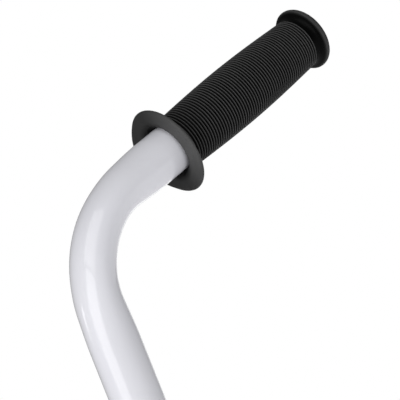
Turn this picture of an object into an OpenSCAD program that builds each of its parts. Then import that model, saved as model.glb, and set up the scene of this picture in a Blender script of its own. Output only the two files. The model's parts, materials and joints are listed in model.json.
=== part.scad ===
// Spring pogo stick: white steel frame with a bent handlebar, black rubber grips,
// pedal footrests and a sprung plunger with a rubber foot.
// Units are millimetres. +Z is up and the origin is the centre of the foot's bottom face.
// The rider stands behind the stick and faces +Y, so +X is the rider's right.

/* [Handlebar] */
// Outside diameter of the handlebar tube
bar_d = 22.2; // [20:0.1:24]
// Wall thickness of the handlebar tube
bar_wall = 1.6; // [1.2:0.1:2.4]
// Height of the grips' centre line above the ground
grip_z = 960; // [920:5:1000]
// Angle that each bend turns through, in degrees
bend_angle = 73; // [68:1:80]
// Centre-line radius of the two outer bends
outer_bend_r = 48; // [44:1:54]
// Centre-line radius of the U-bend at the stem
inner_bend_r = 38; // [36:1:44]
// Straight length of each rising arm between its two bends
arm_straight = 62; // [50:1:80]
// Bare tube between the outer bend and the grip's flange
bare_tube = 24; // [15:1:40]

/* [Grips] */
// Length of a grip from its inner flange to its closed end
grip_len = 102; // [95:1:110]
// Diameter of the inner flange that stops the thumb
flange_d = 42; // [38:0.5:46]
// Diameter of the grip's barrel at its middle
barrel_d = 28.6; // [27.5:0.1:30]
// Diameter of the grip's barrel at both ends
barrel_end_d = 26; // [25:0.1:27]
// Diameter of the rounded rim at the closed end
rim_d = 31.2; // [29:0.1:34]

/* [Column and stem] */
// Outside diameter of the column
column_d = 38.1; // [37:0.1:40]
// Wall thickness of the column
column_wall = 1.8; // [1.6:0.1:2]
// Height of the column's top end
column_top_z = 795; // [760:5:800]
// Outside diameter of the handlebar stem
stem_d = 25.4; // [24:0.1:27]
// Depth that the stem reaches into the column
stem_depth = 75; // [65:1:90]

/* [Footrests] */
// Height of the centre line of the footrest arms
arm_z = 296; // [294:1:300]
// Outside diameter of the footrest arms
arm_d = 19; // [18:0.1:20]
// Length of a pedal along the arm
pedal_len = 100; // [94:1:104]
// Width of a pedal from front to back
pedal_w = 76; // [72:1:84]

/* [Spring and plunger] */
// Outside diameter of the plunger tube
plunger_d = 25.4; // [24:0.1:26]
// Full travel of the plunger
travel = 80; // [72:1:82]
// Wire diameter of the spring
wire_d = 5.5; // [5:0.1:5.8]
// Mean coil diameter of the spring
coil_d = 36; // [35:0.5:37]
// Number of turns of the spring, closed ends included
coil_turns = 10.5; // [9.5:0.5:11.5]
// Largest diameter of the rubber foot
foot_d = 54; // [50:1:60]

/* [Hidden] */

$fn = 96;
paint_white = "#e6e6ec";
rubber_black = "#1c1c1d";
plastic_black = "#262627";
zinc = "#b9bcc0";
nylon_white = "#dcdcd4";
spring_steel = "#8f9398";

eps = 0.01;             // overshoot of a cutting tool past a face
gap = 0.3;              // space left between pieces that move past each other
run = 0.08;             // radial clearance of a running fit

// Handlebar centre line, in the XZ plane
u_rise = inner_bend_r * (1 - cos(bend_angle));
arm_rise = arm_straight * sin(bend_angle);
outer_rise = outer_bend_r * (1 - cos(bend_angle));
bar_low_z = grip_z - u_rise - arm_rise - outer_rise;
u_end_x = inner_bend_r * sin(bend_angle);
u_end_z = bar_low_z + u_rise;
arm_end_x = u_end_x + arm_straight * cos(bend_angle);
arm_end_z = u_end_z + arm_rise;
bend_centre_x = arm_end_x + outer_bend_r * sin(bend_angle);
bend_centre_z = arm_end_z - outer_bend_r * cos(bend_angle);
grip_x = bend_centre_x + bare_tube;
flange_t = 2.6;
grip_wall_end = 5;      // rubber beyond the end of the tube
bar_end_x = grip_x + grip_len - grip_wall_end;

// Column, stem and the bolt that joins them
column_in_d = column_d - 2 * column_wall;
stem_wall = 2;
stem_low_z = column_top_z - stem_depth;
sleeve_low_z = column_top_z - 60;
sleeve_cap_d = column_d + 3;
sleeve_cap_h = 6;
stem_bolt_d = 8;
stem_bolt_z = column_top_z - 30;
stem_bolt_in_nut = 4.4;
stem_washer_t = 1.6;
stem_washer_y = column_d / 2;

// Footrests
hub_d = 46;
hub_low_z = arm_z - 28;
hub_high_z = arm_z + 22;
pedal_x = 34;           // inner end of a pedal
pedal_top_z = arm_z + 18;
pedal_plate_t = 8;
pedal_skirt_t = 3;
lip_t = 5;
lip_h = 8;
tread_pocket = 2;
tread_margin = 5;
tread_t = 4;
tread_rib_h = 3;
tread_rib_w = 4;
tread_rib_count = 8;
arm_wall = 2;
arm_end_x_pos = pedal_x + pedal_len - lip_t;
pedal_bolt_d = 6;
pedal_bolt_x = [pedal_x + 28, pedal_x + 74];
tread_z = pedal_top_z - tread_pocket;

// Guide, spring and plunger, from the ground up
plate_z = 12;
plate_t = 3;
collar_low_z = 66;
collar_h = 10;
collar_d = 50;
collar_pin_d = 5;
spring_low_z = collar_low_z + collar_h;
spring_len = 2 * travel;
closed_turns = 1;       // turns at each end of the spring that lie on the next one
seat_t = 3;
seat_d = 48;
seat_low_z = spring_low_z + spring_len;
bush_flange_t = 7;
bush_flange_d = 48;
bush_depth = 35;
column_low_z = seat_low_z + seat_t + bush_flange_t;
bush_high_z = column_low_z + bush_depth;
bush_screw_z = column_low_z + 11;
bush_screw_d = 4;
bush_screw_angles = [90, 210, 330];
bumper_h = 10;
bumper_high_z = bush_high_z + bumper_h;
washer_t = 3;
rebound_pin_d = 6;
rebound_pin_z = bumper_high_z + gap + washer_t + rebound_pin_d / 2;
plunger_wall = 2;
plunger_in_d = plunger_d - 2 * plunger_wall;
plunger_low_z = plate_z + plate_t;
plunger_high_z = 430;
piston_h = 24;
piston_pin_d = 5;
piston_pin_z = plunger_high_z - 14;

// ---------- helpers ----------

module ring(outer_d, inner_d, height) {
    difference() {
        cylinder(d = outer_d, h = height);
        translate([0, 0, -1]) cylinder(d = inner_d, h = height + 2);
    }
}

// A bar lying along Y, centred on the origin
module rod_y(d, length) {
    rotate([90, 0, 0]) translate([0, 0, -length / 2]) cylinder(d = d, h = length);
}

// A flat outline with four round corners, centred on the origin
module round_rect(length, width, r) {
    square([length - 2 * r, width], center = true);
    square([length, width - 2 * r], center = true);
    for (sx = [-1, 1], sy = [-1, 1])
        translate([sx * (length / 2 - r), sy * (width / 2 - r)]) circle(r = r);
}

// A hexagon prism given by its size across the flats
module hexagon(across, height) {
    cylinder(d = across / cos(30), h = height, $fn = 6);
}

// ---------- handlebar ----------

module bar_section(d_out, d_in) {
    difference() {
        circle(d = d_out);
        if (d_in > 0) circle(d = d_in);
    }
}

module u_bend(d_out, d_in) {
    translate([0, 0, bar_low_z + inner_bend_r])
        rotate([90, 0, 0])
            rotate([0, 0, -90 - bend_angle])
                rotate_extrude(angle = 2 * bend_angle)
                    translate([inner_bend_r, 0]) bar_section(d_out, d_in);
}

module outer_bend(d_out, d_in) {
    translate([bend_centre_x, 0, bend_centre_z])
        rotate([90, 0, 0])
            rotate([0, 0, 90])
                rotate_extrude(angle = bend_angle)
                    translate([outer_bend_r, 0]) bar_section(d_out, d_in);
}

// The arm is a hair thinner than the bends and laps into both, so the tube is one solid
module arm(d_out, d_in) {
    lap = 0.5;
    thinner = 0.1;
    translate([u_end_x, 0, u_end_z]) rotate([0, 90 - bend_angle, 0]) translate([0, 0, -lap])
        linear_extrude(arm_straight + 2 * lap) bar_section(d_out - thinner, d_in + thinner);
}

module bar_half(d_out, d_in) {
    arm(d_out, d_in);
    outer_bend(d_out, d_in);
    translate([bend_centre_x, 0, grip_z]) rotate([0, 90, 0])
        linear_extrude(bar_end_x - bend_centre_x) bar_section(d_out, d_in);
}

module handlebar_tube() {
    bar_in_d = bar_d - 2 * bar_wall;
    color(paint_white) union() {
        u_bend(bar_d, bar_in_d);
        bar_half(bar_d, bar_in_d);
        mirror([1, 0, 0]) bar_half(bar_d, bar_in_d);
    }
}

module handlebar_stem() {
    color(paint_white) difference() {
        translate([0, 0, stem_low_z])
            ring(stem_d, stem_d - 2 * stem_wall, bar_low_z - stem_low_z);
        u_bend(bar_d, 0);
        translate([0, 0, stem_bolt_z]) rod_y(stem_bolt_d + 0.2, stem_d + 2);
    }
}

module stem_sleeve() {
    color(plastic_black) difference() {
        union() {
            translate([0, 0, sleeve_low_z]) cylinder(d = column_in_d, h = column_top_z - sleeve_low_z);
            translate([0, 0, column_top_z]) rotate_extrude() polygon([
                [0, 0], [sleeve_cap_d / 2, 0], [sleeve_cap_d / 2, sleeve_cap_h - 3],
                [stem_d / 2 + 2.5, sleeve_cap_h], [0, sleeve_cap_h]]);
        }
        translate([0, 0, sleeve_low_z - 1]) cylinder(d = stem_d, h = 100);
        translate([0, 0, stem_bolt_z]) rod_y(stem_bolt_d + 0.2, column_in_d + 2);
    }
}

module stem_bolt() {
    color(zinc) {
        translate([0, stem_bolt_in_nut / 2, stem_bolt_z])
            rod_y(stem_bolt_d, column_d + 2 * stem_washer_t + stem_bolt_in_nut);
        translate([0, -stem_washer_y - stem_washer_t, stem_bolt_z]) rotate([90, 0, 0]) hexagon(13, 5.3);
    }
}

module stem_washers() {
    color(zinc) for (side = [-1, 1])
        translate([0, side * (stem_washer_y + stem_washer_t / 2), stem_bolt_z])
            rotate([90, 0, 0]) translate([0, 0, -stem_washer_t / 2])
                ring(16, stem_bolt_d + 0.2, stem_washer_t);
}

module stem_nut() {
    nut_h = 6.5;
    dome_r = 6;
    color(zinc) translate([0, stem_washer_y + stem_washer_t, stem_bolt_z]) rotate([-90, 0, 0])
        difference() {
            union() {
                hexagon(13, nut_h);
                translate([0, 0, nut_h]) intersection() {
                    translate([0, 0, -eps]) sphere(r = dome_r);
                    translate([0, 0, -1]) cylinder(r = dome_r, h = dome_r + 2);
                }
            }
            translate([0, 0, -1]) cylinder(d = stem_bolt_d, h = nut_h);
        }
}

// Outline of a grip from its flange, as radius against length
module grip_profile() {
    collar = 8;         // plain length at each end of the barrel
    rim_w = 7;
    rim_s = grip_len - rim_w;
    swell = (barrel_d - barrel_end_d) / 2;
    steps = 16;
    barrel = [for (i = [0:steps])
        let (t = i / steps)
        [barrel_end_d / 2 + swell * sin(180 * t), collar + t * (rim_s - 2 - collar)]];
    rim = [for (a = [-60:20:90])
        [rim_d / 2 - rim_w / 2 + rim_w / 2 * cos(a), rim_s + rim_w / 2 + rim_w / 2 * sin(a)]];
    polygon(concat([[0, 0], [flange_d / 2 - 0.8, 0], [flange_d / 2, 0.8],
        [flange_d / 2, flange_t - 0.8], [flange_d / 2 - 0.8, flange_t],
        [barrel_end_d / 2 + 1.6, flange_t + 0.6], [barrel_end_d / 2, flange_t + 2.4]],
        barrel, rim, [[0, grip_len]]));
}

module grip() {
    color(rubber_black) translate([grip_x, 0, grip_z]) rotate([0, 90, 0]) difference() {
        rotate_extrude() grip_profile();
        translate([0, 0, -1]) cylinder(d = bar_d, h = grip_len - grip_wall_end + 1);
    }
}

module grip_right() { grip(); }
module grip_left() { mirror([1, 0, 0]) grip(); }

// ---------- column and footrests ----------

module column_tube() {
    color(paint_white) difference() {
        translate([0, 0, column_low_z]) ring(column_d, column_in_d, column_top_z - column_low_z);
        translate([0, 0, stem_bolt_z]) rod_y(stem_bolt_d + 0.2, column_d + 2);
        for (a = bush_screw_angles) translate([0, 0, bush_screw_z]) rotate([0, 90, a])
            cylinder(d = bush_screw_d + 0.2, h = column_d);
    }
}

module footrest_hub() {
    color(paint_white) translate([0, 0, hub_low_z]) ring(hub_d, column_d, hub_high_z - hub_low_z);
}

module footrest_arm() {
    color(paint_white) difference() {
        translate([0, 0, arm_z]) rotate([0, 90, 0]) ring(arm_d, arm_d - 2 * arm_wall, arm_end_x_pos);
        translate([0, 0, hub_low_z - 1]) cylinder(d = hub_d, h = hub_high_z - hub_low_z + 2);
        for (x = pedal_bolt_x) translate([x, 0, arm_z - arm_d])
            cylinder(d = pedal_bolt_d + 0.2, h = 2 * arm_d);
    }
}

module footrest_arm_right() { footrest_arm(); }
module footrest_arm_left() { mirror([1, 0, 0]) footrest_arm(); }

module gusset() {
    thickness = 4;
    difference() {
        translate([0, thickness / 2, 0]) rotate([90, 0, 0]) linear_extrude(thickness) polygon([
            [18, hub_low_z + 3], [30, hub_low_z + 3], [50, arm_z - arm_d / 2 - 4],
            [50, arm_z - 2], [18, arm_z - 2]]);
        translate([0, 0, arm_z]) rotate([0, 90, 0]) cylinder(d = arm_d, h = 60);
        translate([0, 0, hub_low_z - 1]) cylinder(d = hub_d, h = hub_high_z - hub_low_z + 2);
    }
}

module footrest_gussets() {
    color(paint_white) {
        gusset();
        mirror([1, 0, 0]) gusset();
    }
}

module arm_end_plug() {
    plug_in = 12;
    translate([arm_end_x_pos, 0, arm_z]) rotate([0, 90, 0]) {
        translate([0, 0, -plug_in]) cylinder(d = arm_d - 2 * arm_wall, h = plug_in + 1);
        rotate_extrude() polygon([[0, 0], [arm_d / 2, 0], [arm_d / 2, 1.5], [arm_d / 2 - 1.5, 3], [0, 3]]);
    }
}

module arm_end_plugs() {
    color(plastic_black) {
        arm_end_plug();
        mirror([1, 0, 0]) arm_end_plug();
    }
}

module pedal() {
    mid_x = pedal_x + pedal_len / 2;
    saddle_w = 32;
    skirt_low_z = arm_z - 2;
    saddle_low_z = arm_z - 5;
    skirt_h = pedal_top_z - pedal_plate_t - skirt_low_z;
    color(plastic_black) difference() {
        union() {
            translate([mid_x, 0, pedal_top_z - pedal_plate_t])
                linear_extrude(pedal_plate_t) round_rect(pedal_len, pedal_w, 12);
            // Skirt around the underside
            translate([mid_x, 0, skirt_low_z]) linear_extrude(skirt_h + 1) difference() {
                round_rect(pedal_len, pedal_w, 12);
                round_rect(pedal_len - 2 * pedal_skirt_t, pedal_w - 2 * pedal_skirt_t, 9);
            }
            // Saddle that sits over the arm
            translate([pedal_x + 1, -saddle_w / 2, saddle_low_z])
                cube([pedal_len - lip_t - 1, saddle_w, pedal_top_z - pedal_plate_t - saddle_low_z + 1]);
            // Cross ribs under the plate
            for (x = [pedal_x + 14, mid_x, pedal_x + pedal_len - 17])
                translate([x, -pedal_w / 2 + 1, skirt_low_z + 2])
                    cube([3, pedal_w - 2, skirt_h]);
            // Raised lip at the outer end
            translate([pedal_x + pedal_len - lip_t, -pedal_w / 2 + 12, pedal_top_z - 1])
                cube([lip_t, pedal_w - 24, lip_h + 1]);
        }
        // Seat for the arm and for the plug's head
        translate([pedal_x - 1, 0, arm_z]) rotate([0, 90, 0]) cylinder(d = arm_d, h = pedal_len + 2);
        translate([pedal_x - 1, -arm_d / 2, arm_z - arm_d]) cube([pedal_len + 2, arm_d, arm_d]);
        // Pocket for the tread
        translate([mid_x - lip_t / 2, 0, tread_z]) linear_extrude(tread_pocket + 1)
            round_rect(pedal_len - 2 * tread_margin - lip_t, pedal_w - 2 * tread_margin, 8);
        // Countersunk bolt holes
        for (x = pedal_bolt_x) translate([x, 0, 0]) {
            translate([0, 0, arm_z]) cylinder(d = pedal_bolt_d + 0.2, h = 40);
            translate([0, 0, tread_z - 3.3]) cylinder(d1 = pedal_bolt_d, d2 = 12.6, h = 3.3 + eps);
        }
    }
}

module pedal_right() { pedal(); }
module pedal_left() { mirror([1, 0, 0]) pedal(); }

module tread() {
    length = pedal_len - 2 * tread_margin - lip_t;
    width = pedal_w - 2 * tread_margin;
    mid_x = pedal_x + pedal_len / 2 - lip_t / 2;
    pitch = (length - 10 - tread_rib_w) / (tread_rib_count - 1);
    color(rubber_black) {
        translate([mid_x, 0, tread_z]) linear_extrude(tread_t) round_rect(length, width, 8);
        for (i = [0:tread_rib_count - 1])
            translate([mid_x - length / 2 + 5 + i * pitch, -width / 2 + 5, tread_z + tread_t - 1])
                cube([tread_rib_w, width - 10, tread_rib_h + 1]);
    }
}

module tread_right() { tread(); }
module tread_left() { mirror([1, 0, 0]) tread(); }

module pedal_bolt() {
    shank_low_z = arm_z - arm_d / 2 - 7;
    translate([0, 0, shank_low_z]) cylinder(d = pedal_bolt_d, h = tread_z - 1 - shank_low_z);
    translate([0, 0, tread_z - 3.3]) cylinder(d1 = pedal_bolt_d, d2 = 12, h = 3.1);
}

module pedal_bolts() {
    color(zinc) for (side = [-1, 1], x = pedal_bolt_x) translate([side * x, 0, 0]) pedal_bolt();
}

module pedal_nuts() {
    nut_h = 5;
    color(zinc) for (side = [-1, 1], x = pedal_bolt_x)
        translate([side * x, 0, arm_z - arm_d / 2 - nut_h]) difference() {
            hexagon(10, nut_h);
            translate([0, 0, -1]) cylinder(d = pedal_bolt_d, h = nut_h + 2);
        }
}

// ---------- guide, seat and bumper ----------

module lower_guide_bush() {
    color(nylon_white) difference() {
        union() {
            translate([0, 0, column_low_z - bush_flange_t]) cylinder(d = bush_flange_d, h = bush_flange_t);
            translate([0, 0, column_low_z]) cylinder(d = column_in_d, h = bush_high_z - column_low_z);
        }
        translate([0, 0, seat_low_z]) cylinder(d = plunger_d + 2 * run, h = 100);
        for (a = bush_screw_angles) translate([0, 0, bush_screw_z]) rotate([0, 90, a])
            translate([0, 0, plunger_d / 2 + 1]) cylinder(d = bush_screw_d, h = column_d);
    }
}

module bush_screw() {
    tip_r = plunger_d / 2 + 1.6;
    head_r = column_d / 2;
    rotate([0, 90, 0]) {
        translate([0, 0, tip_r]) cylinder(d = bush_screw_d, h = head_r - tip_r + 0.5);
        translate([0, 0, head_r]) rotate_extrude() polygon([
            [0, 0], [bush_screw_d, 0], [bush_screw_d, 1.2], [bush_screw_d - 1, 2.4], [0, 2.4]]);
    }
}

module bush_screws() {
    color(zinc) for (a = bush_screw_angles)
        translate([0, 0, bush_screw_z]) rotate([0, 0, a]) difference() {
            bush_screw();
            cylinder(d = column_d, h = 1, center = true);
        }
}

module upper_spring_seat() {
    color(zinc) translate([0, 0, seat_low_z]) ring(seat_d, plunger_d + 1.2, seat_t);
}

module rebound_bumper() {
    color(rubber_black) translate([0, 0, bush_high_z]) rotate_extrude() polygon([
        [plunger_d / 2 + 0.5, 0], [column_in_d / 2 - 0.6, 0], [column_in_d / 2 - 0.6, bumper_h - 2],
        [column_in_d / 2 - 2, bumper_h], [plunger_d / 2 + 0.5, bumper_h]]);
}

// ---------- spring ----------

// Height of the wire's centre after a number of turns: closed at both ends, even in between
function coil_rise(turn) =
    let (active = coil_turns - 2 * closed_turns,
         span = spring_len - 0.2 - wire_d,
         pitch = (span - 2 * closed_turns * (wire_d + 0.1)) / active)
    turn < closed_turns ? turn * (wire_d + 0.1)
        : turn > coil_turns - closed_turns
        ? span - (coil_turns - turn) * (wire_d + 0.1)
        : closed_turns * (wire_d + 0.1) + (turn - closed_turns) * pitch;

module spring() {
    sides = 8;
    rings_per_turn = 20;
    rings = floor(coil_turns * rings_per_turn);
    points = [for (i = [0:rings], j = [0:sides - 1])
        let (turn = i * coil_turns / rings,
             around = 360 * turn,
             section = 360 * j / sides,
             r = coil_d / 2 + wire_d / 2 * cos(section))
        [r * cos(around), r * sin(around),
         spring_low_z + 0.1 + wire_d / 2 + coil_rise(turn) + wire_d / 2 * sin(section)]];
    walls = [for (i = [0:rings - 1], j = [0:sides - 1])
        let (k = (j + 1) % sides)
        [i * sides + j, (i + 1) * sides + j, (i + 1) * sides + k, i * sides + k]];
    start_cap = [for (j = [0:sides - 1]) j];
    end_cap = [for (j = [sides - 1:-1:0]) rings * sides + j];
    color(spring_steel) polyhedron(points, concat(walls, [start_cap, end_cap]), convexity = 12);
}

// ---------- plunger ----------

module plunger_tube() {
    color(zinc) difference() {
        translate([0, 0, plunger_low_z])
            ring(plunger_d, plunger_in_d, plunger_high_z - plunger_low_z);
        translate([0, 0, collar_low_z + collar_h / 2]) rod_y(collar_pin_d, plunger_d + 2);
        translate([0, 0, rebound_pin_z]) rod_y(rebound_pin_d, plunger_d + 2);
        translate([0, 0, piston_pin_z]) rod_y(piston_pin_d, plunger_d + 2);
    }
}

module piston_guide() {
    head_h = 8;
    skirt_d = column_in_d - 2 * run;
    color(nylon_white) difference() {
        union() {
            translate([0, 0, plunger_high_z - piston_h]) cylinder(d = plunger_in_d, h = piston_h + 1);
            translate([0, 0, plunger_high_z]) rotate_extrude() polygon([
                [0, 0], [skirt_d / 2, 0], [skirt_d / 2, head_h - 2], [skirt_d / 2 - 2, head_h], [0, head_h]]);
        }
        translate([0, 0, piston_pin_z]) rod_y(piston_pin_d, plunger_d + 2);
    }
}

module piston_pin() {
    color(zinc) translate([0, 0, piston_pin_z]) rod_y(piston_pin_d, plunger_d + 1);
}

module rebound_washer() {
    color(zinc) translate([0, 0, bumper_high_z + gap]) ring(column_in_d - 1.2, plunger_d, washer_t);
}

module rebound_pin() {
    color(zinc) translate([0, 0, rebound_pin_z]) rod_y(rebound_pin_d, column_in_d - 3);
}

module spring_collar() {
    lip_r = coil_d / 2 - wire_d / 2 - 0.8;
    color(zinc) difference() {
        translate([0, 0, collar_low_z]) rotate_extrude() polygon([
            [plunger_d / 2, 0], [collar_d / 2 - 1.5, 0], [collar_d / 2, 1.5],
            [collar_d / 2, collar_h - 1], [collar_d / 2 - 1, collar_h], [lip_r, collar_h],
            [lip_r, collar_h + 2.5], [plunger_d / 2, collar_h + 2.5]]);
        translate([0, 0, collar_low_z + collar_h / 2]) rod_y(collar_pin_d, collar_d + 2);
    }
}

module collar_pin() {
    color(spring_steel) translate([0, 0, collar_low_z + collar_h / 2]) rod_y(collar_pin_d, collar_d - 2);
}

// Rubber foot: a flared boot with a ringed sole, blind bored for the tube
module foot_tip() {
    sole_r = foot_d / 2;
    neck_r = plunger_d / 2 + 4.3;
    groove_w = 2.5;
    groove_h = 2;
    color(rubber_black) difference() {
        rotate_extrude() polygon([
            [0, 0], [sole_r - 1.5, 0], [sole_r, 1.5], [sole_r, 9], [sole_r - 2, 13],
            [neck_r + 3, 26], [neck_r + 0.8, 36], [neck_r, 44], [neck_r, 54],
            [neck_r + 2.5, 55.5], [neck_r + 2.5, 61], [neck_r + 1.5, 62], [0, 62]]);
        translate([0, 0, plate_z]) cylinder(d = plunger_d, h = 100);
        for (r = [9, 16, 22]) translate([0, 0, -1]) ring(2 * r + groove_w, 2 * r - groove_w, groove_h + 1);
    }
}

module tip_plate() {
    color(zinc) translate([0, 0, plate_z]) cylinder(d = plunger_d - 0.2, h = plate_t);
}

column_tube();
handlebar_tube();
handlebar_stem();
stem_sleeve();
stem_bolt();
stem_washers();
stem_nut();
grip_right();
grip_left();
footrest_hub();
footrest_gussets();
footrest_arm_right();
footrest_arm_left();
arm_end_plugs();
pedal_right();
pedal_left();
tread_right();
tread_left();
pedal_bolts();
pedal_nuts();
lower_guide_bush();
bush_screws();
upper_spring_seat();
rebound_bumper();
spring();
plunger_tube();
piston_guide();
piston_pin();
rebound_washer();
rebound_pin();
spring_collar();
collar_pin();
foot_tip();
tip_plate();
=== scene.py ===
"""Looks of the spring pogo stick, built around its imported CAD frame. Lengths are in metres."""
import json
import math

import bmesh
import bpy
import numpy as np
from mathutils import Matrix, Vector


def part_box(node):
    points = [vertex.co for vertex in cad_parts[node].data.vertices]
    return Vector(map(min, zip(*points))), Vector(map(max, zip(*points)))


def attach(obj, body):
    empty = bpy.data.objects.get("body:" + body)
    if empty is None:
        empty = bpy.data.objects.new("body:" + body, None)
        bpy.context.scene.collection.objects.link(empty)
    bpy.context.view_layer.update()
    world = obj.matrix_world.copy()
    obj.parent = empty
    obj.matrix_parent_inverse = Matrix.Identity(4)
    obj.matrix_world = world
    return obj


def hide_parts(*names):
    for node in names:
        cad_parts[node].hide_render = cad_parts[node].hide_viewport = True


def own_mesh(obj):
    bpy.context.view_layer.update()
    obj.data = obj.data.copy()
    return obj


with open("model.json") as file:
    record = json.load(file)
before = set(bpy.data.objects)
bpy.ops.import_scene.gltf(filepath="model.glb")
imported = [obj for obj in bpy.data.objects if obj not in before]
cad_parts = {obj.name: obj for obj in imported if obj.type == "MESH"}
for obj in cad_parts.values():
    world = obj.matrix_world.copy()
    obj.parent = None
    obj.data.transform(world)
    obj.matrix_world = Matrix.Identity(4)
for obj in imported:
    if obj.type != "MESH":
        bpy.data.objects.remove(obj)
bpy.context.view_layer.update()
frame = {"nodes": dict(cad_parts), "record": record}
NODES = frame["nodes"]
MM = 0.001
TAU = 2 * math.pi

GRIP_LOW, GRIP_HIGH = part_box("grip_right")
GRIP_X = GRIP_LOW.x                         # face of the right grip's flange
GRIP_Z = (GRIP_LOW.z + GRIP_HIGH.z) / 2
GRIP_LEN = GRIP_HIGH.x - GRIP_LOW.x
COLUMN_IN_R = 17.25 * MM


# ---------- materials ----------

NOISE_LOW, NOISE_HIGH = 0.35, 0.65          # a noise's factor lies mostly between these
MOULD_GRAIN = 0.03 * MM                     # height of the fine grain on moulded pieces


def new_material(name, **sockets):
    """A material with one Principled shader, its sockets set by name."""
    material = bpy.data.materials.new(name)
    material.use_nodes = True
    shader = material.node_tree.nodes["Principled BSDF"]
    for key, value in sockets.items():
        shader.inputs[key.replace("_", " ")].default_value = value
    return material


def add_noise(material, scale, detail=2.0):
    """The factor of a noise texture in the object's own space."""
    tree = material.node_tree
    place = tree.nodes.new("ShaderNodeTexCoord")
    noise = tree.nodes.new("ShaderNodeTexNoise")
    noise.inputs["Scale"].default_value = scale
    noise.inputs["Detail"].default_value = detail
    tree.links.new(place.outputs["Object"], noise.inputs["Vector"])
    return noise.outputs["Fac"]


def add_bump(material, height, relief):
    """Bump on the material's shader. relief is its height in metres."""
    tree = material.node_tree
    bump = tree.nodes.new("ShaderNodeBump")
    bump.inputs["Distance"].default_value = relief
    tree.links.new(height, bump.inputs["Height"])
    tree.links.new(bump.outputs["Normal"], tree.nodes["Principled BSDF"].inputs["Normal"])


def vary(material, socket, factor, low, high):
    """Lets a socket run from low to high, numbers or colours, with a texture's factor."""
    tree = material.node_tree
    target = tree.nodes["Principled BSDF"].inputs[socket]
    if isinstance(low, tuple):
        ramp = tree.nodes.new("ShaderNodeValToRGB")
        ramp.color_ramp.elements[0].position = NOISE_LOW
        ramp.color_ramp.elements[1].position = NOISE_HIGH
        ramp.color_ramp.elements[0].color = (*low, 1)
        ramp.color_ramp.elements[1].color = (*high, 1)
        tree.links.new(factor, ramp.inputs["Fac"])
        tree.links.new(ramp.outputs["Color"], target)
    else:
        ramp = tree.nodes.new("ShaderNodeMapRange")
        ramp.inputs["From Min"].default_value = NOISE_LOW
        ramp.inputs["From Max"].default_value = NOISE_HIGH
        ramp.inputs["To Min"].default_value = low
        ramp.inputs["To Max"].default_value = high
        tree.links.new(factor, ramp.inputs["Value"])
        tree.links.new(ramp.outputs["Result"], target)


def paint_material():
    """Glossy white powder coat: a faint orange peel and a hardly uneven tone under a clear coat."""
    material = new_material("white_paint", Roughness=0.38, Specular_IOR_Level=0.35,
                            Coat_Weight=1.0, Coat_Roughness=0.05)
    vary(material, "Base Color", add_noise(material, 12, 2.0), (0.79, 0.79, 0.842), (0.82, 0.82, 0.867))
    add_bump(material, add_noise(material, 320, 1.0), 0.012 * MM)
    return material


def rubber_material(name, tone, roughness, grain):
    """Black moulded rubber with a fine grain and faintly dusty patches."""
    material = new_material(name, Specular_IOR_Level=0.4)
    patches = add_noise(material, 45, 4.0)
    vary(material, "Base Color", patches, (tone * 0.85, tone * 0.85, tone * 0.9),
         (tone * 1.2, tone * 1.2, tone * 1.25))
    vary(material, "Roughness", patches, roughness * 0.9, roughness * 1.1)
    add_bump(material, add_noise(material, grain, 3.0), MOULD_GRAIN)
    return material


PAINTED_LIGHT_ATTR = "painted_light"                           # the grip meshes' attribute of painted light and shade, 0 where black with painted shade to 1 where grey with painted highlight or painted light
# Black for the rubber and for the painted shade in the valleys and recesses; grey for the painted highlights
# and painted light
BLACK_TONE, PAINTED_LIGHT_TONE = 0.0012, 0.108
MIX_COLOURS, MIX_RESULT = (6, 7), 2         # the colour sockets of a Mix node


def grip_material():
    """Black rubber, painted grey where the mesh's own attribute says so: painted highlights and painted light
    there, and painted shade left black in the valleys.
    """
    material = new_material("grip_rubber", Specular_IOR_Level=0.06)
    tree = material.node_tree
    # the attribute holds the painted highlights, painted light and painted shade
    painted_light = tree.nodes.new("ShaderNodeAttribute")
    painted_light.attribute_name = PAINTED_LIGHT_ATTR
    tone = tree.nodes.new("ShaderNodeMapRange")
    tone.inputs["To Min"].default_value = BLACK_TONE
    tone.inputs["To Max"].default_value = PAINTED_LIGHT_TONE
    tree.links.new(painted_light.outputs["Fac"], tone.inputs["Value"])
    patches = add_noise(material, 45, 4.0)
    dust = tree.nodes.new("ShaderNodeMix")
    dust.data_type = "RGBA"
    dust.blend_type = "MULTIPLY"
    dust.inputs["Factor"].default_value = 0.35
    tree.links.new(tone.outputs["Result"], dust.inputs[MIX_COLOURS[0]])
    tree.links.new(patches, dust.inputs[MIX_COLOURS[1]])
    tree.links.new(dust.outputs[MIX_RESULT], tree.nodes["Principled BSDF"].inputs["Base Color"])
    vary(material, "Roughness", patches, 0.36, 0.46)
    add_bump(material, add_noise(material, 2200, 3.0), MOULD_GRAIN)
    return material


def plastic_material():
    """Black moulded plastic with a fine eroded grain."""
    material = new_material("black_plastic", Base_Color=(0.022, 0.022, 0.024, 1), Specular_IOR_Level=0.5)
    vary(material, "Roughness", add_noise(material, 60, 3.0), 0.42, 0.54)
    add_bump(material, add_noise(material, 1600, 2.0), MOULD_GRAIN)
    return material


def nylon_material():
    """Natural nylon: off-white, and slightly translucent."""
    material = new_material("nylon", Roughness=0.42, Subsurface_Weight=0.15, Subsurface_Scale=0.004)
    vary(material, "Base Color", add_noise(material, 70, 3.0), (0.66, 0.65, 0.59), (0.74, 0.73, 0.68))
    return material


def metal_material(name, dark, light, roughness, grain=90):
    """Plated steel: tone and roughness wander a little over the surface."""
    material = new_material(name, Metallic=1.0)
    patches = add_noise(material, grain, 4.0)
    vary(material, "Base Color", patches, dark, light)
    vary(material, "Roughness", patches, roughness * 0.75, roughness * 1.3)
    return material


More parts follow.
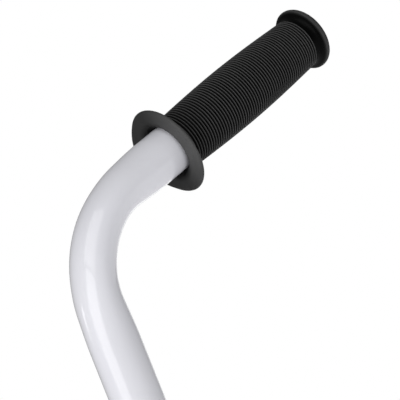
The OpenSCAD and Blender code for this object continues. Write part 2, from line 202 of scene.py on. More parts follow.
MATERIALS = {
    "white_paint": paint_material(),
    "grip_rubber": grip_material(),
    "tread_rubber": rubber_material("tread_rubber", 0.024, 0.62, 1500),
    "foot_rubber": rubber_material("foot_rubber", 0.022, 0.6, 1200),
    "black_plastic": plastic_material(),
    "nylon": nylon_material(),
    "zinc_steel": metal_material("zinc_steel", (0.50, 0.51, 0.54), (0.66, 0.66, 0.66), 0.28),
    "spring_steel": metal_material("spring_steel", (0.36, 0.37, 0.39), (0.50, 0.50, 0.51), 0.24, 160),
    "chrome_tube": metal_material("chrome_tube", (0.68, 0.69, 0.71), (0.76, 0.77, 0.78), 0.09, 40),
}
SLOT_OF = {part["node"]: part["material_slot"] for part in frame["record"]["subparts"]}


# ---------- building meshes ----------

SAME_POINT = 1e-6                           # points closer than this are one, also to the axis
STRAIGHT = math.radians(8)                  # an outline's corner that turns less than this stays
ROUND = 1.0                                 # a size across flats that leaves a level of hex_mesh round


def in_mm(points, lift=0):
    """Outline points given in millimetres, raised by lift metres."""
    return [(r * MM, lift + z * MM) for r, z in points]


def share(value, start, reach):
    """How far a value has come from start over a reach, held between 0 and 1."""
    return min(max((value - start) / reach, 0), 1)


def clean(mesh, merge=False):
    """Turns the faces outwards, and on request merges double points."""
    bm = bmesh.new()
    bm.from_mesh(mesh)
    if merge:
        bmesh.ops.remove_doubles(bm, verts=bm.verts, dist=SAME_POINT)
    bmesh.ops.recalc_face_normals(bm, faces=bm.faces)
    bm.to_mesh(mesh)
    bm.free()
    return mesh


def grid_mesh(name, rings, closed_length=False, cap_ends=False):
    """Quads over closed rings of points. closed_length joins the last ring to the first."""
    count, rows = len(rings[0]), len(rings)
    points = [tuple(p) for ring in rings for p in ring]
    faces = []
    for i in range(rows if closed_length else rows - 1):
        a, b = i * count, ((i + 1) % rows) * count
        for j in range(count):
            k = (j + 1) % count
            faces.append((a + j, b + j, b + k, a + k))
    if cap_ends:
        faces.append(tuple(range(count)))
        faces.append(tuple((rows - 1) * count + j for j in reversed(range(count))))
    mesh = bpy.data.meshes.new(name)
    mesh.from_pydata(points, [], faces)
    return clean(mesh)


def rounded(outline, radius, steps=4):
    """The closed outline with its corners rounded to a radius, or less where an edge is short."""
    points = [np.array(p, float) for p in outline]
    result = []
    for i, p in enumerate(points):
        before, after = points[i - 1] - p, points[(i + 1) % len(points)] - p
        lengths = np.linalg.norm(before), np.linalg.norm(after)
        if min(lengths) < SAME_POINT:
            continue
        before, after = before / lengths[0], after / lengths[1]
        angle = math.acos(float(np.clip(before @ after, -1, 1)))
        if abs(p[0]) < SAME_POINT or math.pi - angle < STRAIGHT:
            result.append(p)
            continue
        reach = min(radius / math.tan(angle / 2), 0.45 * lengths[0], 0.45 * lengths[1])
        a, b = p + before * reach, p + after * reach
        for t in np.linspace(0, 1, steps + 1):
            result.append((1 - t) ** 2 * a + 2 * t * (1 - t) * p + t * t * b)
    return result


def lathe_mesh(name, outline, segments=96, shape=None):
    """Turns a closed outline of (radius, height) about Z. shape(point, angle) may move each point."""
    rings = []
    for i in range(segments):
        angle = TAU * i / segments
        ring = [Vector((r * math.cos(angle), r * math.sin(angle), z)) for r, z in outline]
        rings.append([shape(p, angle) for p in ring] if shape else ring)
    return clean(grid_mesh(name, rings, closed_length=True), merge=True)


def hex_mesh(name, levels, segments=72):
    """A turned and hexagonal body along Z. Each level is (round radius, size across flats, height),
    and the section there is the smaller of the circle and the hexagon. Both ends are closed."""
    rings = []
    for radius, flats, z in levels:
        ring = []
        for i in range(segments):
            angle = TAU * i / segments
            apothem_angle = (angle + math.pi / 6) % (math.pi / 3) - math.pi / 6
            r = min(radius, flats / 2 / math.cos(apothem_angle))
            ring.append((r * math.cos(angle), r * math.sin(angle), z))
        rings.append(ring)
    return grid_mesh(name, rings, cap_ends=True)


def hex_levels(flats, cuts):
    """Levels for hex_mesh, from pairs of how far the hexagon's corners are cut back and the height."""
    corner_r = flats / 2 / math.cos(math.pi / 6)
    return [(corner_r - cut, flats, z) for cut, z in cuts]


def joined(name, meshes):
    """One mesh out of several."""
    bm = bmesh.new()
    for mesh in meshes:
        bm.from_mesh(mesh)
    result = bpy.data.meshes.new(name)
    bm.to_mesh(result)
    bm.free()
    return result


def placed(mesh, origin, axis=(0, 0, 1), mirrored=False):
    """Turns a mesh made along Z onto an axis, moves it to origin, and mirrors it to the left side."""
    turn = Vector((0, 0, 1)).rotation_difference(Vector(axis)).to_matrix().to_4x4()
    mesh.transform(Matrix.Translation(origin) @ turn)
    if mirrored:
        mesh.transform(Matrix.Diagonal((-1, 1, 1, 1)))
        mesh.flip_normals()
    return mesh


def add_piece(name, mesh, replaced, slot, body="frame", smooth_angle=35):
    """Puts a finished mesh in the scene as a piece that rides on a body and stands for CAD nodes."""
    piece = bpy.data.objects.new(name, mesh)
    bpy.context.scene.collection.objects.link(piece)
    mesh.materials.append(MATERIALS[slot])
    mesh.shade_smooth()
    mesh.set_sharp_from_angle(angle=math.radians(smooth_angle))
    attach(piece, body)
    if replaced:
        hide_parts(*replaced)
    return piece


def add_lathe(name, node, outline, slot, body="frame", corner=0.5 * MM, shape=None, segments=96):
    """A turned piece about the stick's own axis that replaces one node."""
    mesh = lathe_mesh(name, rounded(outline, corner), segments, shape)
    return add_piece(name, mesh, [node], slot, body)


def span(node):
    """Radius and the two heights of a node that is round about the stick's axis."""
    low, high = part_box(node)
    return (high.x - low.x) / 2, low.z, high.z


# ---------- handlebar ----------

BAR_R = 11.1 * MM
BAR_WALL = 1.6 * MM
OUTER_BEND_R = 48 * MM      # of the centre line, by the grip
INNER_BEND_R = 38 * MM      # of the centre line, in the U over the stem
BEND = math.radians(73)
ARM_STRAIGHT = 62 * MM      # between the two bends
BARE_TUBE = 24 * MM         # between the outer bend and the grip
FLATTENING = 0.145          # share of its width that the tube loses in the plane of a bend
WIDENING = 0.6              # share of the flattening that it gains across the bend
U_FLATTENING = 0.5          # share of the full flattening that the U has
FLAT_REACH = 16 * MM        # how far the flattening runs out into the straights
PATH_STEP = 1.8 * MM
BAR_SEGMENTS = 64

# Height of the centre line in the middle of the U
BAR_LOW_Z = GRIP_Z - (OUTER_BEND_R + INNER_BEND_R) * (1 - math.cos(BEND)) - ARM_STRAIGHT * math.sin(BEND)


def bar_path():
    """Centre line of the right half of the handlebar, from the middle of the U-bend outwards.
    Each entry is (x, z, heading, share of the full flattening)."""
    tube_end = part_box("handlebar_tube")[1].x
    parts = [(INNER_BEND_R * BEND, 1 / INNER_BEND_R), (ARM_STRAIGHT, 0),
             (OUTER_BEND_R * BEND, -1 / OUTER_BEND_R), (tube_end - GRIP_X + BARE_TUBE, 0)]
    edges = np.cumsum([0] + [length for length, _ in parts])

    def past(s, edge):
        """0 well before an edge between two parts of the path, 1 well after it."""
        t = share(s, edge - FLAT_REACH, 2 * FLAT_REACH)
        return t * t * (3 - 2 * t)

    def at(s):
        x, z, heading = 0.0, BAR_LOW_Z, 0.0
        for (length, curve), start in zip(parts, edges):
            run = min(max(s - start, 0), length)
            if curve:
                turned = heading + run * curve
                x += (math.sin(turned) - math.sin(heading)) / curve
                z += (math.cos(heading) - math.cos(turned)) / curve
                heading = turned
            else:
                x += run * math.cos(heading)
                z += run * math.sin(heading)
        in_u = 1 - past(s, edges[1])
        in_outer_bend = past(s, edges[2]) * (1 - past(s, edges[3]))
        return x, z, heading, U_FLATTENING * in_u + in_outer_bend

    return [at(s) for s in np.linspace(0, edges[-1], int(edges[-1] / PATH_STEP) + 1)]


def bar_ring(x, z, heading, flat, radius):
    """One cross-section of the tube, square to its path: oval where the tube is bent."""
    in_plane = radius * (1 - FLATTENING * flat)
    across = radius * (1 + WIDENING * FLATTENING * flat)
    ring = []
    for i in range(BAR_SEGMENTS):
        a = TAU * i / BAR_SEGMENTS
        n, y = in_plane * math.cos(a), across * math.sin(a)
        ring.append((x - n * math.sin(heading), y, z + n * math.cos(heading)))
    return ring


def build_handlebar():
    """The bent tube, with its wall: one skin from end to end outside and back inside."""
    half = bar_path()
    path = [(-x, z, -heading, flat) for x, z, heading, flat in reversed(half[1:])] + half
    outer = [bar_ring(*p, BAR_R) for p in path]
    inner = [bar_ring(*p, BAR_R - BAR_WALL) for p in reversed(path)]
    mesh = grid_mesh("handlebar", outer + inner, closed_length=True)
    add_piece("handlebar", mesh, ["handlebar_tube"], "white_paint")


# ---------- weld beads ----------

BEAD_SEGMENTS = 10
BEAD_HEIGHT = 0.8           # height of a bead over its half width
SLOW_WAVES = 7              # how often a bead grows thicker and thinner on its way round
NEAR_EDGE = 0.985           # the stem's seam is kept within this share of the handlebar's radius
SEAM_STEP = 1e-4            # step along a seam over which its direction is taken


def bead_mesh(seam, outward, size, steps, ripples):
    """A bead of weld round a closed seam(t), t from 0 to 1, piled up in small ripples. outward(t)
    points out of the joint."""
    rings = []
    for i in range(steps):
        t = i / steps
        along = (seam(t + SEAM_STEP) - seam(t - SEAM_STEP)).normalized()
        out = outward(t).normalized()
        side = along.cross(out).normalized()
        swell = size * (1 + 0.10 * math.sin(TAU * ripples * t) + 0.05 * math.sin(TAU * SLOW_WAVES * t + 1))
        rings.append([seam(t) + swell * (math.cos(a) * out * BEAD_HEIGHT + math.sin(a) * side)
                      for a in np.linspace(0, TAU, BEAD_SEGMENTS, endpoint=False)])
    return grid_mesh("bead", rings, closed_length=True)


def build_welds():
    """Beads where the stem meets the handlebar, round the column at both ends of the hub, and where
    the arms meet the hub."""
    stem_r = span("handlebar_stem")[0]
    hub_r, hub_low, hub_high = span("footrest_hub")
    column_r = span("column_tube")[0]
    arm_low, arm_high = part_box("footrest_arm_right")
    arm_r, arm_z = (arm_high.z - arm_low.z) / 2, (arm_high.z + arm_low.z) / 2

    def stem_seam(t):
        x, y = stem_r * math.cos(TAU * t), stem_r * math.sin(TAU * t)
        drop = math.sqrt(BAR_R ** 2 - min(abs(y), BAR_R * NEAR_EDGE) ** 2)
        return Vector((x, y, BAR_LOW_Z + INNER_BEND_R - math.sqrt((INNER_BEND_R + drop) ** 2 - x * x)))

    def radial(t):
        return Vector((math.cos(TAU * t), math.sin(TAU * t), 0))

    def circle(radius, z):
        return lambda t: radial(t) * radius + Vector((0, 0, z))

    def arm_seam(t):
        y = arm_r * math.cos(TAU * t)
        return Vector((math.sqrt(hub_r ** 2 - y * y), y, arm_z + arm_r * math.sin(TAU * t)))

    def arm_out(t):
        return Vector((0.6, math.cos(TAU * t), math.sin(TAU * t)))

    stem_bead = bead_mesh(stem_seam, radial, 1.7 * MM, 160, 40)
    add_piece("stem_weld", stem_bead, [], "white_paint", smooth_angle=80)
    hub_beads = [bead_mesh(circle(column_r, z), radial, 2.0 * MM, 220, 56) for z in (hub_low, hub_high)]
    for mirrored in (False, True):
        arm_bead = bead_mesh(arm_seam, arm_out, 1.8 * MM, 140, 30)
        hub_beads.append(placed(arm_bead, (0, 0, 0), mirrored=mirrored))
    add_piece("hub_welds", joined("hub_welds", hub_beads), [], "white_paint", smooth_angle=80)


# ---------- grips ----------

RIB_COUNT = 58
RIB_FIRST = 5.47 * MM
RIB_LAST = 91.75 * MM
RIB_DEPTH = 1.2 * MM
BARREL_END_R = 12.95 * MM
BARREL_MID_R = 14.35 * MM
RIM_START = RIB_LAST + 0.9 * MM
END_WALL = 5 * MM           # between the blind bore and the grip's end
RECESS_DEPTH = 3.4 * MM     # from the flange's face to where the grip holds the tube
FLANGE_R = 21.05 * MM
FLANGE_DEPTH = 3 * MM       # the flange lies within this distance of its face
FLANGE_ROOT_R = 14 * MM     # the flange is soft outside this radius
FLANGE_BEND = 6.6 * MM      # scales the front edge's bend towards the arm, which is 2.2 mm at most
BEND_START = 0.516          # the bend starts where y over the radius is this
FLANGE_DISH = 0.2 * MM      # how far the rest of the edge leans towards the grip
FLANGE_OVAL = 0.33 * MM     # how far the front of the edge is pulled in
GRIP_SEGMENTS = 144


def barrel_radius(s):
    """Radius over the ribs: slim at both ends and full in the middle."""
    t = share(s, RIB_FIRST, RIB_LAST - RIB_FIRST)
    return BARREL_END_R + (BARREL_MID_R - BARREL_END_R) * math.sin(math.pi * t)


def grip_outline():
    """Outline of a grip as (radius, distance from the flange's face), round to the blind bore."""
    bore_end = GRIP_LEN - END_WALL
    flange = [(11.6, 2.7), (12.4, 1.5), (13.3, 0.6), (14.4, 0.15), (15.6, 0.0), (18.5, 0.05), (20.3, 0.15),
              (20.85, 0.45), (21.05, 0.9), (21.0, 1.35), (20.75, 1.75), (20.3, 1.95), (17.5, 2.2),
              (15.2, 2.6), (13.9, 3.2), (12.9, 4.0), (12.2, 4.6)]
    points = [(0, bore_end), (BAR_R, bore_end), (BAR_R, RECESS_DEPTH)] + in_mm(flange)
    pitch = (RIB_LAST - RIB_FIRST) / (RIB_COUNT - 1)
    # A rib from valley to valley as (distance from its middle over the pitch, share of its depth)
    crest = [(-0.25, 0.95), (-0.15, 0.38), (-0.07, 0.0), (0.07, 0.0), (0.15, 0.38), (0.25, 0.95), (0.5, 1.0)]
    for i in range(RIB_COUNT):
        for offset, depth in crest:
            s = RIB_FIRST + (i + offset) * pitch
            points.append((barrel_radius(s) - depth * RIB_DEPTH, s))
    rim = [(12.1, 0.0), (12.1, 1.1), (12.3, 2.1), (12.8, 2.9), (13.5, 3.4), (14.4, 3.75), (15.1, 4.0),
           (15.5, 4.25), (15.7, 4.6), (15.75, 5.1), (15.65, 5.7), (15.35, 6.3), (14.8, 6.9), (14.0, 7.5),
           (12.8, 8.1), (10.0, 8.8), (5.0, 9.25)]
    return points + in_mm(rim, RIM_START) + [(0, GRIP_LEN)]


FLANGE_GREY = (0.30, 1.0)    # how grey the flange is, from its far side to the rider's side, which is painted lighter as painted light
# Painted highlights: how grey the ribs' crests and the end's lip are
CREST_HIGHLIGHT = 0.95
RIM_HIGHLIGHT = 0.55
CREST_SHARE = 1 / 2.2       # the painted highlight ends at this share of a rib's depth


def paint_light_and_shade(mesh):
    """Marks how far each point of a grip made along Z is painted grey: painted highlights on the ribs' crests
    and painted light on the flange's rider side most, the rest of the flange and a painted highlight on the
    end's lip less, and the valleys and the recesses not at all, left black as painted shade."""
    for vertex, painted_light in zip(mesh.vertices, mesh.attributes.new(PAINTED_LIGHT_ATTR, "FLOAT", "POINT").data):
        s = vertex.co.z
        radius = math.hypot(vertex.co.x, vertex.co.y)
        if s < FLANGE_DEPTH:
            # painted light: the flange's rider side is lighter
            rider_side = max(0.0, -vertex.co.y / max(radius, SAME_POINT)) ** 1.5
            grey = FLANGE_GREY[0] + (FLANGE_GREY[1] - FLANGE_GREY[0]) * rider_side
            painted_light.value = grey * share(radius, 12.2 * MM, 3 * MM)
        elif s < RIM_START - 0.1 * MM:
            # painted highlight on the crests, painted shade in the valleys
            painted_light.value = CREST_HIGHLIGHT * share(radius, barrel_radius(s) - CREST_SHARE * RIB_DEPTH,
                                             CREST_SHARE * RIB_DEPTH)
        else:
            # painted highlight on the end's lip
            painted_light.value = RIM_HIGHLIGHT * share(radius, 14.9 * MM, 0.7 * MM)


def build_grip(side):
    """One ribbed rubber grip, made along Z and laid onto the handlebar's end."""
    def soften(p, _angle):
        """Bends the thin flange: it is soft, and lies a little unevenly."""
        radius = math.hypot(p.x, p.y)
        reach = share(radius, FLANGE_ROOT_R, FLANGE_R - FLANGE_ROOT_R)
        if p.z < FLANGE_DEPTH and reach > 0:
            front = p.y / radius
            p.z += FLANGE_DISH * reach - FLANGE_BEND * max(0.0, front - BEND_START) ** 1.5 * reach ** 1.3
            scale = 1 - FLANGE_OVAL * max(0.0, front + 0.1) * reach / radius
            p.x, p.y = p.x * scale, p.y * scale
        return p

    name = "grip_" + side + "_ribbed"
    mesh = lathe_mesh(name, grip_outline(), GRIP_SEGMENTS, soften)
    paint_light_and_shade(mesh)
    placed(mesh, (GRIP_X, 0, GRIP_Z), (1, 0, 0), mirrored=side == "left")
    add_piece(name, mesh, ["grip_" + side], "grip_rubber", smooth_angle=60)


# ---------- stem and its bolt ----------

BOLT_R = 4 * MM
BOLT_FLATS = 13 * MM        # of the bolt's head and the cap nut
CAP_NUT_HEX = 6.5 * MM      # height of the cap nut's hexagon, under its dome
DOME_R = 6 * MM
WASHER_BORE_R = 4.1 * MM
WASHER_R = 8 * MM
WASHER_H = 1.6 * MM


def build_sleeve_cap():
    """The sleeve between stem and column, with its trim cap."""
    cap_r, sleeve_low, cap_top = span("stem_sleeve")
    stem_r = span("handlebar_stem")[0]
    column_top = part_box("column_tube")[1].z
    add_lathe("stem_sleeve_cap", "stem_sleeve", [
        (stem_r, sleeve_low), (COLUMN_IN_R, sleeve_low), (COLUMN_IN_R, column_top), (cap_r, column_top),
        (cap_r, column_top + 2.6 * MM), (cap_r - 1.0 * MM, column_top + 3.4 * MM),
        (stem_r + 2.6 * MM, cap_top - 0.4 * MM), (stem_r + 1.6 * MM, cap_top), (stem_r, cap_top)],
        "black_plastic", corner=0.8 * MM)


def build_stem_bolt():
    """The hexagon bolt through column and stem, its cap nut and its washers."""
    bolt_low, bolt_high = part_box("stem_bolt")
    nut_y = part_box("stem_nut")[0].y
    washer_low, washer_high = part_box("stem_washers")
    z = (bolt_low.z + bolt_high.z) / 2
    head_h = washer_low.y - bolt_low.y
    head = hex_mesh("head", hex_levels(BOLT_FLATS, [
        (0.3 * MM, 0), (0, 0.3 * MM), (0, head_h - 1.3 * MM), (0.5 * MM, head_h - 0.7 * MM),
        (1.1 * MM, head_h - 0.2 * MM), (1.6 * MM, head_h), (4 * MM, head_h)]))
    shank = hex_mesh("shank", [(BOLT_R, ROUND, 0), (BOLT_R, ROUND, bolt_high.y - washer_low.y)], 32)
    placed(head, (0, washer_low.y, z), (0, -1, 0))
    placed(shank, (0, washer_low.y, z), (0, 1, 0))
    add_piece("stem_hex_bolt", joined("stem_hex_bolt", [head, shank]), ["stem_bolt"], "zinc_steel")

    levels = hex_levels(BOLT_FLATS, [(0.7 * MM, 0), (0, 0.7 * MM), (0, CAP_NUT_HEX - 1.2 * MM),
                                     (0.6 * MM, CAP_NUT_HEX - 0.6 * MM), (1.3 * MM, CAP_NUT_HEX - 0.1 * MM)])
    levels.append((DOME_R, BOLT_FLATS, CAP_NUT_HEX))
    for a in np.linspace(0.1, 1.5, 12):
        levels.append((DOME_R * math.cos(a), BOLT_FLATS, CAP_NUT_HEX + DOME_R * math.sin(a)))
    nut = placed(hex_mesh("stem_cap_nut", levels), (0, nut_y, z), (0, 1, 0))
    add_piece("stem_cap_nut", nut, ["stem_nut"], "zinc_steel")

    outline = rounded([(WASHER_BORE_R, 0), (WASHER_R, 0), (WASHER_R, WASHER_H), (WASHER_BORE_R, WASHER_H)],
                      0.4 * MM)
    washer_y = washer_high.y - WASHER_H
    washers = [placed(lathe_mesh("washer", outline, 64), (0, side * washer_y, z), (0, side, 0))
               for side in (-1, 1)]
    add_piece("stem_flat_washers", joined("stem_flat_washers", washers), ["stem_washers"], "zinc_steel")


# ---------- footrests ----------

ARM_WALL = 2 * MM
PLUG_DEPTH = 12 * MM
PEDAL_BOLT_X = (62 * MM, 108 * MM)
PEDAL_NUT_FLATS = 10 * MM
SOFT_EDGE = {"pedal_right": 0.7 * MM, "pedal_left": 0.7 * MM, "tread_right": 0.6 * MM, "tread_left": 0.6 * MM,
             "footrest_gussets": 0.5 * MM}


def build_footrest_fittings():
    """The hub round the column, the plugs in the arms' ends and the nuts under the pedals."""
    hub_r, hub_low, hub_high = span("footrest_hub")
    column_r = span("column_tube")[0]
    add_lathe("footrest_hub_turned", "footrest_hub",
              [(column_r, hub_low), (hub_r, hub_low), (hub_r, hub_high), (column_r, hub_high)],
              "white_paint", corner=1.2 * MM)

    plug_low, plug_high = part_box("arm_end_plugs")
    arm_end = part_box("footrest_arm_right")[1].x
    arm_r, arm_z = (plug_high.z - plug_low.z) / 2, (plug_high.z + plug_low.z) / 2
    head = plug_high.x - arm_end
    plug_r = arm_r - ARM_WALL
    outline = rounded([(0, -PLUG_DEPTH), (plug_r - 0.6 * MM, -PLUG_DEPTH), (plug_r, 2 * MM - PLUG_DEPTH),
                       (plug_r, 0), (arm_r, 0), (arm_r, 0.45 * head), (arm_r - 0.9 * MM, 0.8 * head),
                       (arm_r * 0.6, 0.96 * head), (0, head)], 0.4 * MM)
    plugs = [placed(lathe_mesh("plug", outline, 72), (arm_end, 0, arm_z), (1, 0, 0), mirrored)
             for mirrored in (False, True)]
    add_piece("arm_plug_caps", joined("arm_plug_caps", plugs), ["arm_end_plugs"], "black_plastic")

    nut_low, nut_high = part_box("pedal_nuts")
    nut_h = nut_high.z - nut_low.z
    levels = hex_levels(PEDAL_NUT_FLATS, [(0, 0), (0, 0.6 * nut_h), (0.5 * MM, 0.7 * nut_h)])
    for r, z in ((4.4, 0.76), (4.3, 0.95), (4.0, 1), (3.05, 1)):
        levels.append((r * MM, PEDAL_NUT_FLATS, z * nut_h))
    nuts = []
    for x in PEDAL_BOLT_X:
        for mirrored in (False, True):
            nuts.append(placed(hex_mesh("nut", levels), (x, 0, nut_high.z), (0, 0, -1), mirrored))
    add_piece("pedal_lock_nuts", joined("pedal_lock_nuts", nuts), ["pedal_nuts"], "zinc_steel")


def finish_cad_nodes():
    """Gives each CAD node that still shows its material, and takes the razor edge off the boxy ones."""
    for name, node in NODES.items():
        if node.hide_render:
            continue
        node.data.materials.clear()
        node.data.materials.append(MATERIALS[SLOT_OF[name]])
        if name in SOFT_EDGE:
            flat = node.modifiers.new("flat_faces", "DECIMATE")
            flat.decimate_type = "DISSOLVE"
            flat.angle_limit = math.radians(2)
            bevel = node.modifiers.new("soft_edges", "BEVEL")
            bevel.width = SOFT_EDGE[name]
            bevel.segments = 2
            bevel.limit_method = "ANGLE"
            bevel.angle_limit = math.radians(35)
            bevel.use_clamp_overlap = True
            bevel.harden_normals = True


# ---------- guide, spring and plunger ----------

SEAT_GAP = 0.6 * MM         # between the spring's upper seat and the plunger
BUSH_GAP = 0.08 * MM        # between the guide bush and the plunger
SCREW_ANGLES = (90, 210, 330)
WIRE_R = 2.75 * MM
TURNS = 10.5
CLOSED_TURNS = 1.0          # at each end of the spring
STEPS_PER_TURN = 64
WIRE_SEGMENTS = 20
SOLE_GROOVES = (9, 16, 22)  # radii in mm
SOLE_NOTCHES = 30
NOTCH_DEPTH = 0.9 * MM


def build_guide():
    """The pieces at the column's lower end: the spring's upper seat, the guide bush and its screws."""
    plunger_r = span("plunger_tube")[0]
    seat_r, seat_low, seat_high = span("upper_spring_seat")
    seat_bore = plunger_r + SEAT_GAP
    add_lathe("spring_seat_washer", "upper_spring_seat",
              [(seat_bore, seat_low), (seat_r, seat_low), (seat_r, seat_high), (seat_bore, seat_high)],
              "zinc_steel", corner=0.7 * MM)
    bush_r, bush_low, bush_high = span("lower_guide_bush")
    column_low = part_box("column_tube")[0].z
    bush_bore = plunger_r + BUSH_GAP
    add_lathe("guide_bush_turned", "lower_guide_bush",
              [(bush_bore, bush_low), (bush_r, bush_low), (bush_r, column_low), (COLUMN_IN_R, column_low),
               (COLUMN_IN_R, bush_high), (bush_bore, bush_high)], "nylon", corner=0.9 * MM)

    screw_low, screw_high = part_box("bush_screws")
    middle = Vector((0, 0, (screw_low.z + screw_high.z) / 2))
    column_r = span("column_tube")[0]
    screws = []
    for angle in SCREW_ANGLES:
        a = math.radians(angle)
        out = Vector((math.cos(a), math.sin(a), 0))
        screw = hex_mesh("screw", [
            (2 * MM, ROUND, -4.85 * MM), (2 * MM, ROUND, 0), (3.9 * MM, ROUND, 0), (4 * MM, ROUND, 0.4 * MM),
            (3.85 * MM, ROUND, 1.1 * MM), (3.3 * MM, ROUND, 1.8 * MM), (2.5 * MM, ROUND, 2.25 * MM),
            (1.8 * MM, ROUND, 2.4 * MM), (1.5 * MM, 2.5 * MM, 2.4 * MM), (1.45 * MM, 2.5 * MM, 1.1 * MM)], 48)
        screws.append(placed(screw, out * column_r + middle, out))
    add_piece("bush_socket_screws", joined("bush_socket_screws", screws), ["bush_screws"], "zinc_steel")


def build_spring():
    """The compression spring as a smooth coil that lies closed at both ends."""
    radius, low, high = span("spring")
    mean = radius - WIRE_R
    length = high - low - 2 * WIRE_R
    lead = 2 * WIRE_R + 0.1 * MM
    pitch = (length - 2 * CLOSED_TURNS * lead) / (TURNS - 2 * CLOSED_TURNS)

    def rise(turn):
        if turn < CLOSED_TURNS:
            return turn * lead
        if turn > TURNS - CLOSED_TURNS:
            return length - (TURNS - turn) * lead
        return CLOSED_TURNS * lead + (turn - CLOSED_TURNS) * pitch

    rings = []
    steps = int(TURNS * STEPS_PER_TURN)
    up = Vector((0, 0, 1))
    for i in range(steps + 1):
        turn = TURNS * i / steps
        out = Vector((math.cos(TAU * turn), math.sin(TAU * turn), 0))
        centre = out * mean + up * (low + WIRE_R + rise(turn))
        rings.append([centre + WIRE_R * (math.cos(a) * out + math.sin(a) * up)
                      for a in np.linspace(0, TAU, WIRE_SEGMENTS, endpoint=False)])
    mesh = grid_mesh("spring_coil", rings, cap_ends=True)
    piece = add_piece("spring_coil", mesh, ["spring"], "spring_steel")
    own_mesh(piece)


def build_collar():
    """The spring's lower seat, with a lip inside the coil."""
    plunger_r = span("plunger_tube")[0]
    collar_r, collar_low, collar_high = span("spring_collar")
    seat_z = collar_high - 2.5 * MM
    lip_r = span("spring")[0] - 2 * WIRE_R - 0.8 * MM
    add_lathe("spring_collar_turned", "spring_collar",
              [(plunger_r, collar_low), (collar_r - 1.6 * MM, collar_low), (collar_r, collar_low + 1.6 * MM),
               (collar_r, seat_z - 1.2 * MM), (collar_r - 1.2 * MM, seat_z), (lip_r, seat_z),
               (lip_r, collar_high - 0.6 * MM), (lip_r - 0.6 * MM, collar_high), (plunger_r, collar_high)],
              "zinc_steel", "plunger")


def build_foot():
    """The rubber foot, with grooves in its sole and notches round the sole's edge."""
    plunger_r = span("plunger_tube")[0]
    foot_r, _, foot_high = span("foot_tip")
    bore_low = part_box("tip_plate")[0].z
    neck = plunger_r + 4.3 * MM
    sole = [(0, 0)]
    for r in SOLE_GROOVES:
        sole += [(r - 1.5, 0), (r - 1.1, 2.0), (r + 1.1, 2.0), (r + 1.5, 0)]
    side = [(foot_r - 1.2 * MM, 0), (foot_r, 1.6 * MM), (foot_r, 8.6 * MM), (foot_r - 0.9 * MM, 11.5 * MM),
            (foot_r - 3.6 * MM, 15.5 * MM), (neck + 3.6 * MM, 24 * MM), (neck + 1.5 * MM, 32 * MM),
            (neck + 0.4 * MM, 40 * MM), (neck, 46 * MM), (neck, 53.4 * MM), (neck + 1.2 * MM, 54.3 * MM),
            (neck + 2.5 * MM, 55.5 * MM), (neck + 2.5 * MM, 60.6 * MM), (neck + 1.2 * MM, foot_high)]
    bore = [(plunger_r, foot_high), (plunger_r, bore_low), (0, bore_low)]

    def notch(p, angle):
        """Shallow grip notches around the sole's edge."""
        radius = math.hypot(p.x, p.y)
        if radius > foot_r - 2.2 * MM and 0.5 * MM < p.z < 11 * MM:
            depth = NOTCH_DEPTH * max(0.0, math.cos(SOLE_NOTCHES * angle) - 0.1) ** 0.5
            scale = (radius - depth) / radius
            p.x, p.y = p.x * scale, p.y * scale
        return p

    add_lathe("foot_boot", "foot_tip", in_mm(sole) + side + bore, "foot_rubber", "plunger",
              corner=0.9 * MM, shape=notch, segments=300)


# ---------- camera, stage and light ----------

VIEW_AZIMUTH = 329.7        # degrees round the stick: 0 is behind the rider, 90 is at the rider's right
VIEW_ELEVATION = 8.12
VIEW_ROLL = 36.43
VIEW_FOCAL = 3.31           # focal length over the sensor's width
SENSOR_WIDTH = 36           # mm
FLANGE_SEEN = Vector((-15.1, 20.7, -580.6)) * MM    # centre of the right flange in the camera's axes

AMBIENT = 0.25              # brightness of the studio's walls where they light the object
FLOOR_R = 2.0
FLOOR_H = 10 * MM
SOFTBOX_POWER = 4           # watts per square metre of a softbox at brightness 1
WASH_STRENGTH = 2.0
WASH_ANGLE = math.radians(60)   # so wide that the stick's shadow on the floor is soft


def camera_axes():
    """The camera's right, up and backward directions as the columns of a matrix."""
    azimuth, elevation, roll = (math.radians(v) for v in (VIEW_AZIMUTH, VIEW_ELEVATION, VIEW_ROLL))
    back = Vector((math.sin(azimuth) * math.cos(elevation), -math.cos(azimuth) * math.cos(elevation),
                   math.sin(elevation)))
    level = Vector((math.cos(azimuth), math.sin(azimuth), 0))
    upright = back.cross(level)
    right = math.cos(roll) * level - math.sin(roll) * upright
    return Matrix((right, back.cross(right), back)).transposed()


AXES = camera_axes()
FLANGE = Vector((GRIP_X, 0, GRIP_Z))


def build_camera():
    """The photograph's viewpoint: close to the right grip, and rolled."""
    camera = bpy.data.cameras.new("camera")
    camera.sensor_width = SENSOR_WIDTH
    camera.lens = VIEW_FOCAL * camera.sensor_width
    camera.clip_start = 0.02
    seat = bpy.data.objects.new("camera", camera)
    bpy.context.scene.collection.objects.link(seat)
    seat.matrix_world = Matrix.Translation(FLANGE - AXES @ FLANGE_SEEN) @ AXES.to_4x4()
    bpy.context.scene.camera = seat


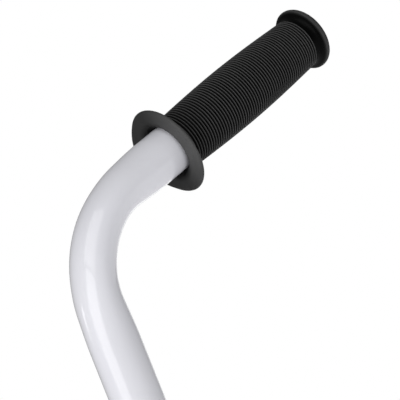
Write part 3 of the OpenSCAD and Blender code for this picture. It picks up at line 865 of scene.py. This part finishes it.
def build_stage():
    """A pale floor, and a studio that is white where it is looked at and dimmer where it lights."""
    floor_mesh = lathe_mesh("floor", [(0, -FLOOR_H), (FLOOR_R, -FLOOR_H), (FLOOR_R, 0), (0, 0)], 128)
    floor = bpy.data.objects.new("floor", floor_mesh)
    bpy.context.scene.collection.objects.link(floor)
    floor_mesh.materials.append(new_material("floor_white", Base_Color=(0.88, 0.88, 0.89, 1), Roughness=0.9,
                                             Specular_IOR_Level=0.1))

    scene = bpy.context.scene
    scene.view_settings.view_transform = "Standard"
    world = bpy.data.worlds.new("studio")
    scene.world = world
    world.use_nodes = True
    tree = world.node_tree
    background = tree.nodes["Background"]
    background.inputs["Color"].default_value = (1, 1, 1, 1)
    seen = tree.nodes.new("ShaderNodeLightPath")
    strength = tree.nodes.new("ShaderNodeMapRange")
    strength.inputs["To Min"].default_value = AMBIENT
    strength.inputs["To Max"].default_value = 1.0
    tree.links.new(seen.outputs["Is Camera Ray"], strength.inputs["Value"])
    tree.links.new(strength.outputs["Result"], background.inputs["Strength"])
    return floor


def seen_direction(azimuth, elevation):
    """A direction in the camera's axes, from its azimuth towards the camera's right and its elevation,
    both in degrees. (0, 0) is where the camera is."""
    a, e = math.radians(azimuth), math.radians(elevation)
    return Vector((math.sin(a) * math.cos(e), math.sin(e), math.cos(a) * math.cos(e)))


def add_softbox(name, towards, distance, size, brightness, upright=(0, 1, 0)):
    """A soft area light that lies from the right grip's flange in a direction given in the camera's
    axes. Its height runs along upright."""
    light = bpy.data.lights.new(name, "AREA")
    light.shape = "RECTANGLE"
    light.size, light.size_y = size
    light.energy = brightness * SOFTBOX_POWER * size[0] * size[1]
    lamp = bpy.data.objects.new(name, light)
    bpy.context.scene.collection.objects.link(lamp)
    back = AXES @ towards
    right = (AXES @ Vector(upright)).cross(back).normalized()
    lamp.matrix_world = Matrix.Translation(FLANGE + distance * back) @ Matrix(
        (right, back.cross(right), back)).transposed().to_4x4()
    lamp.visible_camera = False
    return lamp


def wash_floor(floor):
    """A wide light from above for the floor alone. The other lights leave the floor out, so it is
    evenly pale."""
    light = bpy.data.lights.new("floor_wash", "SUN")
    light.energy = WASH_STRENGTH
    light.angle = WASH_ANGLE
    wash = bpy.data.objects.new("floor_wash", light)
    bpy.context.scene.collection.objects.link(wash)
    for lamp in [thing for thing in bpy.context.scene.objects if thing.type == "LIGHT"]:
        takers = bpy.data.collections.new(lamp.name + "_takers")
        takers.objects.link(floor)
        takers.collection_objects[0].light_linking.link_state = "INCLUDE" if lamp == wash else "EXCLUDE"
        lamp.light_linking.receiver_collection = takers


def build_lights():
    """Softboxes that give the tube and the grip the photograph's highlights and shade. Each has its
    direction, distance, size and brightness."""
    add_softbox("key", seen_direction(-35, -10), 1.5, (1.2, 1.1), 1.74)
    add_softbox("upper", seen_direction(-38, 32), 1.5, (1.5, 1.0), 1.2)
    fill = add_softbox("fill", seen_direction(32, -15), 1.3, (0.8, 0.6), 1.75)
    fill.visible_glossy = False
    add_softbox("low_side", seen_direction(-80, -50), 1.5, (0.8, 0.8), 1.5)
    add_softbox("edge_strip", seen_direction(-95, -20), 1.2, (0.13, 0.24), 2.2,
                upright=(0.1, -0.54, -0.83))
    add_softbox("behind", seen_direction(170, -5), 1.6, (0.9, 0.9), 0.55)


build_camera()
floor = build_stage()
build_lights()
wash_floor(floor)
build_handlebar()
build_welds()
build_grip("right")
build_grip("left")
build_sleeve_cap()
build_stem_bolt()
build_footrest_fittings()
build_guide()
build_spring()
build_collar()
build_foot()
finish_cad_nodes()
